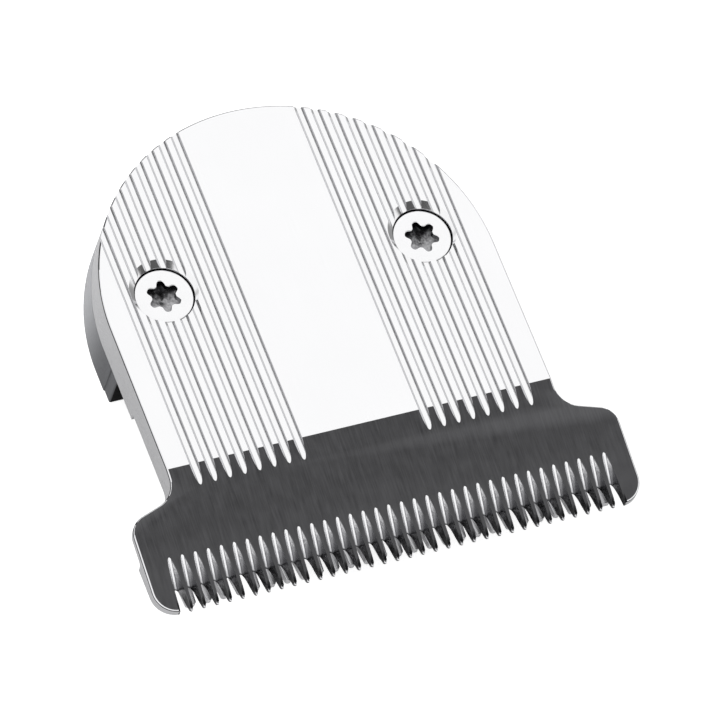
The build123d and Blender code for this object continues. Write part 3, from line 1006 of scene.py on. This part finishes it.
@dataclass
class CutterBlade:
    """Moving blade: flat on top, bevelled underneath, with a tooth row of its own pitch."""

    half_width: float = 17.45
    half_tail: float = 9.5
    rear: float = -2.62
    head_rear: float = -12.22
    tail_y: float = -10.62
    tip_y: float = -18.82
    top: float = 4.18
    tip_thickness: float = 0.55
    bevel_y: float = -14.22
    tooth_count: int = 27
    pitch: float = 1.301
    gap_length: float = 2.95
    gap_mouth: float = 0.82
    gap_root: float = 0.46
    root_round: float = 0.45
    tip_round: float = 0.22
    corner_round: float = 1.0
    edge_round: float = 0.05
    peg_hole: float = 0.82

    def outline(self) -> Array:
        """Outline with the teeth.

        Returns:
            Rounded tips and roots repeated along the row, then the head, its shoulders and the tail.
        """
        gaps = (np.arange(self.tooth_count - 1) - (self.tooth_count - 1) / 2 + 0.5) * self.pitch
        root_y, root_radius = self.tip_y + self.gap_length, self.gap_root * self.root_round
        mouth, root = self.gap_mouth / 2, self.gap_root / 2
        corners, radii = [(-self.half_width, self.tip_y)], [self.tip_round]
        for x in gaps:
            corners += [(x - mouth, self.tip_y), (x - root, root_y), (x + root, root_y), (x + mouth, self.tip_y)]
            radii += [self.tip_round, root_radius, root_radius, self.tip_round]
        right = [(self.half_width, self.bevel_y), (self.half_width, self.head_rear),
                 (self.half_tail, self.tail_y), (self.half_tail, self.rear)]
        corners += [(self.half_width, self.tip_y)] + right + mirrored(right)
        radii += [self.tip_round, 0.0] + [self.corner_round] * 6 + [0.0]
        return rounded_path(corners, radii, 7)

    def underside(self, y: Array) -> Array:
        """Lower face: flat, rising evenly to the thin tips in front of the bevel line."""
        rise = (self.top - self.tip_thickness - AT.cutter_bottom) / (self.bevel_y - self.tip_y)
        return AT.cutter_bottom + np.maximum(self.bevel_y - y, 0.0) * rise

    def build(self) -> Piece:
        """Builds and dresses the cutter blade.

        Returns:
            The finished piece.
        """
        edge = self.edge_round
        body = prism(self.outline(), self.underside, self.top, edge, edge, 4, (self.bevel_y, None))
        piece = to_object("cutter_plate", body)
        hole = [(self.peg_hole, AT.cutter_bottom - PAST), (self.peg_hole, self.top + PAST)]
        carve(piece, "DIFFERENCE", *[turned(hole, (s * AT.peg_x, AT.driver_y)) for s in SIDES])
        dress(piece, [CUTTER])
        place(piece, "cutter", "ground_steel", "cutter_blade")
        return piece


@dataclass
class CarrierScrew:
    """One countersunk six-lobe screw."""

    x: float = AT.screw_x
    turn: float = 0.0
    head_radius: float = 2.28
    rim: float = 0.20
    rim_bevel: float = 0.04
    rim_land: float = 0.03
    edge: float = 0.06
    shank_radius: float = 1.25
    end_bevel: float = 0.35
    length: float = 5.20
    lobe_middle: float = 1.13
    lobe_swing: float = 0.20
    lobe_fullness: float = 1.45
    recess_depth: float = 0.50
    recess_cone: float = 0.30
    recess_mouth: float = 0.07
    recess_foot: float = -0.01
    recess_round: float = 0.94
    recess_even: float = 0.3
    floor_stations: tuple[float, ...] = (0.0, 0.05, 0.12, 0.2, 0.3, 0.45, 0.6, 0.8, 0.97)
    count: int = 144

    def lobes(self, grow: float) -> Array:
        """Radius of the recess round the axis.

        The outline is middle + swing * sin(f cos 6a) / sin f, so lobes and valleys are fuller than a plain wave.

        Args:
            grow: Added to the radius.

        Returns:
            One radius per point of the ring.
        """
        angle = circle_angles(self.count) + self.turn
        wave = np.sin(self.lobe_fullness * np.cos(6 * angle)) / math.sin(self.lobe_fullness)
        return self.lobe_middle + self.lobe_swing * wave + grow

    def hull(self) -> Hull:
        """Whole screw as one stack of rings, from the end of the shank over the head into the recess.

        On the recess floor the ring turns from the lobed outline to a circle before it closes in on the axis.

        Returns:
            The closed surface.
        """
        top, edge = AT.head_top, self.edge
        bottom, rim_z, floor = top - self.length, top - self.rim, top - self.recess_depth
        bend = np.linspace(0, math.pi / 2, 6)
        rings = [(self.shank_radius - self.end_bevel, bottom), (self.shank_radius, bottom + self.end_bevel),
                 (self.shank_radius, rim_z - (self.head_radius - self.shank_radius)),
                 (self.head_radius - self.rim_bevel, rim_z - self.rim_bevel),
                 (self.head_radius, rim_z + self.rim_land)]
        rings += [(self.head_radius - edge * (1 - math.cos(b)), top - edge + edge * math.sin(b)) for b in bend]
        mouth, outer = self.lobes(self.recess_mouth), self.head_radius - edge
        rings += [(mouth * (1 - t) + outer * t, top) for t in (0.66, 0.33)]
        rings += [(self.lobes(edge * (1 - math.sin(b))), top - edge * (1 - math.cos(b))) for b in bend]
        for t in self.floor_stations:
            even = min(1.0, t / self.recess_even)
            shape = self.lobes(self.recess_foot) * (1 - even) + self.recess_round * even
            rings.append((shape * (1 - t), floor - self.recess_cone * t))
        return turned(rings, (self.x, AT.screw_y), self.count)


@dataclass
class CarrierScrews:
    """The two screws, which differ only in how far they are turned."""

    turns: Span = (0.60, 0.408)
    recess_reach: float = 1.40
    recess_depths: Span = (0.03, 1.2)
    side_depth: float = 0.05
    crease: float = 28.0

    def build(self) -> Piece:
        """Builds and dresses both screws as one piece.

        Returns:
            The finished piece.
        """
        hulls = [CarrierScrew(s * AT.screw_x, turn).hull() for s, turn in zip(SIDES, self.turns)]
        piece = to_object("countersunk_screws", joined(*hulls))
        x, y, z = Faces(piece.data).middle.T
        inside = np.hypot(np.abs(x) - AT.screw_x, y - AT.screw_y) < self.recess_reach
        start, end = (AT.head_top - depth for depth in self.recess_depths)
        # The recess gets its finish, which has painted shade on one side.
        zone = (inside & (z < start) & (z > end)).astype(int)
        # Sides of the heads and the shanks get the painted shade of their narrow gaps.
        zone[~inside & (z < AT.head_top - self.side_depth)] = 2
        dress(piece, [SCREW, RECESS, SHANK], zone, self.crease)
        place(piece, "root", "screw_steel", "carrier_screws")
        return piece


@dataclass(frozen=True)
class Pocket:
    """Upright space that is cut out of the carrier, by its reach on each axis and the radius of its corners."""

    x: Span
    y: Span
    z: Span
    corner: float = 0.0
    steps: int = 5

    def hull(self) -> Hull:
        """The closed surface to cut with."""
        return prism(rectangle(self.x, self.y, self.corner, self.steps), *self.z)


THROUGH = (-1.0, 5.0)
POCKETS = (
    # Window of the driver.
    Pocket((-8.8, 8.8), (-10.27, 1.60), THROUGH, 0.8, 8),
    # Latch notches.
    *[Pocket(around(s * 12.4, 0.8), (-8.97, -5.97), THROUGH) for s in SIDES],
    # Hook pocket.
    Pocket((-5.0, 5.0), (14.2, 17.2), (-1.0, 2.2)),
    # Cores, which keep the moulding from sinking.
    *[Pocket(around(x, 1.5), (4.5, 12.5), (-1.0, 2.3), 0.3) for x in (-6.7, -2.7, 2.7, 6.7)],
    # Seat of the spring's strip, and of the roots of its legs.
    Pocket((-6.18, 6.18), (1.62, 2.98), (2.77, 5.0)),
    *[Pocket(around(s * 5.4, 0.78), (1.2, 2.98), (2.52, 5.0)) for s in SIDES],
)


@dataclass
class BladeCarrier:
    """Moulded holder: round body, tongue under the cutter, window, pockets and spring seat."""

    front: float = 0.80
    grip_end: float = 1.90
    grip_fade: float = 0.04
    strip_step: float = 0.08
    corner: float = 0.14
    edge: float = 0.22
    dome_steps: int = 120
    tongue_x: Span = (-12.4, 12.4)
    tongue_y: Span = (-12.17, 1.5)
    tongue_z: Span = (0.0, 2.6)
    tongue_round: float = 1.8
    tongue_edge: float = 0.12
    pilot: tuple[Span, ...] = ((1.27, 0.62), (1.27, 5.0))
    shaded_ny: float = -0.9

    def outline(self) -> Array:
        """Round rear end flush with the comb, stepped in just behind the front face.

        Returns:
            Points of the outline, one row each.
        """
        inner = AT.dome_radius - self.strip_step
        right = [(inner, self.front), (inner, self.grip_end - self.grip_fade),
                 (AT.dome_radius, self.grip_end + self.grip_fade)]
        dome = AT.dome(self.dome_steps)
        radii = [self.corner] + [0] * (len(dome) + 4) + [self.corner]
        return rounded_path(right + dome + mirrored(right), radii, 8)

    def build(self) -> Piece:
        """Builds, cuts and dresses the carrier.

        Returns:
            The finished piece.
        """
        piece = to_object("carrier_body", prism(self.outline(), 0, AT.seat, self.edge, 0.0, 5))
        tongue = rectangle(self.tongue_x, self.tongue_y, [self.tongue_round, self.tongue_round, 0, 0], 12)
        carve(piece, "UNION", prism(tongue, *self.tongue_z, self.tongue_edge, self.tongue_edge, 3))
        pilots = [turned(self.pilot, (s * AT.screw_x, AT.screw_y)) for s in SIDES]
        carve(piece, "DIFFERENCE", *[pocket.hull() for pocket in POCKETS], *pilots)
        # Front faces get the finish painted black as the shade under the comb.
        shaded = Faces(piece.data).normal[:, 1] < self.shaded_ny
        dress(piece, [CARRIER, SHADE], shaded.astype(int))
        place(piece, "root", "carrier_plastic", "blade_carrier")
        return piece


@dataclass
class CutterDriver:
    """Slide block under the cutter, with two pegs and the slot for the eccentric pin."""

    plate_bottom: float = 2.18
    plate_x: Span = (-7.1, 7.1)
    plate_half: float = 3.0
    plate_round: float = 0.8
    plate_edges: Span = (0.1, 0.06)
    arm_x: float = 2.3
    arm_half: float = 0.8
    arm_reach: float = 2.5
    arm_round: float = 0.2
    arm_z: Span = (0.5, 2.5)
    arm_edge: float = 0.12
    peg: tuple[Span, ...] = ((0.8, 2.5), (0.8, 4.02), (0.74, 4.08))

    def build(self) -> Piece:
        """Builds and dresses the driver.

        Returns:
            The finished piece.
        """
        plate = rectangle(self.plate_x, around(AT.driver_y, self.plate_half), self.plate_round, 8)
        piece = to_object("slide_driver", prism(plate, self.plate_bottom, AT.cutter_bottom, *self.plate_edges, 3))
        along = around(AT.driver_y, self.arm_reach)
        arms = [rectangle(around(s * self.arm_x, self.arm_half), along, self.arm_round) for s in SIDES]
        pegs = [turned(self.peg, (s * AT.peg_x, AT.driver_y)) for s in SIDES]
        carve(piece, "UNION", *[prism(arm, *self.arm_z, self.arm_edge, 0.0, 3) for arm in arms], *pegs)
        dress(piece, [DRIVER])
        place(piece, "cutter", "driver_plastic", "cutter_driver")
        return piece


@dataclass
class PressureSpring:
    """Bent strip with two legs that lift the driver."""

    thickness: float = 0.35
    leg_x: float = 5.40
    leg_width: float = 1.40
    line: tuple[Span, ...] = ((-9.02, 2.15), (-3.22, 2.15), (1.70, 3.20), (2.90, 3.20))
    bend_round: float = 0.8
    edge_round: float = 0.05
    leg_round: float = 0.3
    rear_round: float = 0.2
    plan_z: Span = (1.0, 4.0)
    bar_half: float = 10.0

    def build(self) -> Piece:
        """Builds and dresses the spring: the bent section along X, cut to the plan of strip and legs.

        Returns:
            The finished piece.
        """
        corners = [*self.line] + [(y, z - self.thickness) for y, z in reversed(self.line)]
        radii = [self.edge_round, self.bend_round, self.bend_round, self.edge_round] * 2
        outer, inner = self.leg_x + self.leg_width / 2, self.leg_x - self.leg_width / 2
        tip, fork, rear = self.line[0][0], self.line[2][0], self.line[3][0]
        plan = [(-outer, tip), (-inner, tip), (-inner, fork), (inner, fork), (inner, tip), (outer, tip),
                (outer, rear), (-outer, rear)]
        path = rounded_path(plan, [self.leg_round] * 6 + [self.rear_round] * 2, 6)
        piece = to_object("pressure_strip", prism(path, *self.plan_z))
        carve(piece, "INTERSECT", bar(rounded_path(corners, radii, 6)[::-1], self.bar_half))
        dress(piece, [SPRING])
        place(piece, "root", "spring_steel", "pressure_spring")
        return piece


@dataclass(frozen=True)
class Card:
    """Dark card of the studio that only reflections see: its direction, two half angles and its brightness."""

    direction: Triple
    inner: float
    outer: float
    value: float


class Cards(Enum):
    """The cards: one above the teeth, which greys the ground band, and one low on each side."""

    ABOVE = Card((0.30, -0.18, 0.937), 20.0, 24.5, 0.10)
    RIGHT = Card((0.95, 0.25, 0.15), 15.0, 30.0, 0.30)
    LEFT = Card((-0.88, 0.40, 0.12), 18.0, 28.0, 0.05)


@dataclass(frozen=True)
class Lamp:
    """Square soft lamp that the steel does not mirror: place and side in metres, power in watts."""

    name: str
    where: Triple
    size: float
    power: float

    def build(self) -> None:
        """Adds the lamp, facing the object."""
        data = bpy.data.lights.new(self.name, "AREA")
        data.size, data.energy = self.size, self.power
        made = bpy.data.objects.new(self.name, data)
        made.location = self.where
        made.rotation_euler = (-Vector(self.where)).to_track_quat("-Z", "Y").to_euler()
        made.visible_glossy = False
        bpy.context.scene.collection.objects.link(made)


@dataclass
class Studio:
    """Camera, lamps, world and floor, with the camera in metres and the floor in millimetres."""

    lens: float = 444.5
    sensor: float = 36.0
    clip: Span = (0.05, 10.0)
    distance: float = 0.6704
    aim: Triple = (0.0, -0.0087, 0.0066)
    right: Triple = (0.9148, -0.3488, 0.2037)
    up: Triple = (0.2156, 0.8482, 0.4838)
    back: Triple = (-0.3416, -0.3986, 0.8511)
    rise: float = 0.00478
    lamps: tuple[Lamp, ...] = (Lamp("key", (-0.5, -0.3, 0.9), 0.5, 3.0),
                               Lamp("rear", (-0.50, 0.50, 0.15), 0.3, 3.0))
    plain_light: float = 0.55
    floor_half: float = 1500.0
    floor_z: Span = (-20.0, -0.02)
    paper: float = 0.80
    glow_seen: float = 0.72
    glow_mirrored: float = 0.12

    def camera(self) -> None:
        """Sets the camera where the photograph was taken from."""
        data = bpy.data.cameras.new("camera")
        data.lens, data.sensor_width = self.lens, self.sensor
        data.clip_start, data.clip_end = self.clip
        camera = bpy.data.objects.new("camera", data)
        axes = Matrix([self.right, self.up, self.back]).transposed()
        where = Vector(self.aim) + Vector(self.back) * self.distance + Vector(self.up) * self.rise
        camera.matrix_world = Matrix.Translation(where) @ axes.to_4x4()
        bpy.context.scene.collection.objects.link(camera)
        bpy.context.scene.camera = camera

    def world(self) -> None:
        """White to the camera, a room with dark cards to reflections, and plain grey light to the rest."""
        world = bpy.data.worlds.new("studio")
        bpy.context.scene.world = world
        tree = empty_tree(world)
        sky: object = WHITE
        for card in (c.value for c in Cards):
            facing = reach_along(tree, "Generated", Vector(card.direction).normalized())
            outer, inner = (math.cos(math.radians(angle)) for angle in (card.outer, card.inner))
            sky = mixed(tree, rising(tree, facing, outer, inner), sky, (card.value,) * 3 + (1.0,))
        lights = ((sky, 1.0), (WHITE, self.plain_light), (WHITE, 1.0))
        mirror, plain, white = (add(tree, "ShaderNodeBackground", {"Color": colour, "Strength": power}).outputs[0]
                                for colour, power in lights)
        path = add(tree, "ShaderNodeLightPath").outputs
        unseen = add(tree, "ShaderNodeMixShader", {0: path["Is Glossy Ray"], 1: plain, 2: mirror}).outputs[0]
        every = add(tree, "ShaderNodeMixShader", {0: path["Is Camera Ray"], 1: unseen, 2: white}).outputs[0]
        out = add(tree, "ShaderNodeOutputWorld")
        tree.links.new(every, out.inputs["Surface"])

    def floor(self) -> None:
        """Pale floor that the camera sees as white, apart from the object's soft shadow."""
        side = around(0, self.floor_half)
        piece = to_object("floor", box(side, side, self.floor_z))
        made = bpy.data.materials.new("floor_white_paper")
        tree = empty_tree(made)
        out = add(tree, "ShaderNodeOutputMaterial")
        paper = add(tree, "ShaderNodeBsdfDiffuse", {"Color": (self.paper,) * 3 + (1,)})
        path = add(tree, "ShaderNodeLightPath").outputs
        seen = add(tree, "ShaderNodeMath", {0: path["Is Camera Ray"], 1: self.glow_seen}, operation="MULTIPLY")
        terms = {0: path["Is Glossy Ray"], 1: self.glow_mirrored, 2: seen.outputs[0]}
        strength = add(tree, "ShaderNodeMath", terms, operation="MULTIPLY_ADD")
        glow = add(tree, "ShaderNodeEmission", {"Color": WHITE, "Strength": strength.outputs[0]})
        both = add(tree, "ShaderNodeAddShader", {0: paper.outputs[0], 1: glow.outputs[0]})
        tree.links.new(both.outputs[0], out.inputs["Surface"])
        piece.data.materials.append(made)

    def build(self) -> None:
        """Builds the whole studio."""
        bpy.context.scene.view_settings.view_transform = "Standard"
        self.camera()
        self.world()
        for lamp in self.lamps:
            lamp.build()
        self.floor()


def main() -> None:
    logging.basicConfig(level=logging.INFO, format="%(message)s")
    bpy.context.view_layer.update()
    for part in (CombBlade(), CutterBlade(), CarrierScrews(), BladeCarrier(), CutterDriver(), PressureSpring()):
        made = part.build()
        log.info("built %s", made.name)
    Studio().build()


if __name__ == "__main__":
    main()
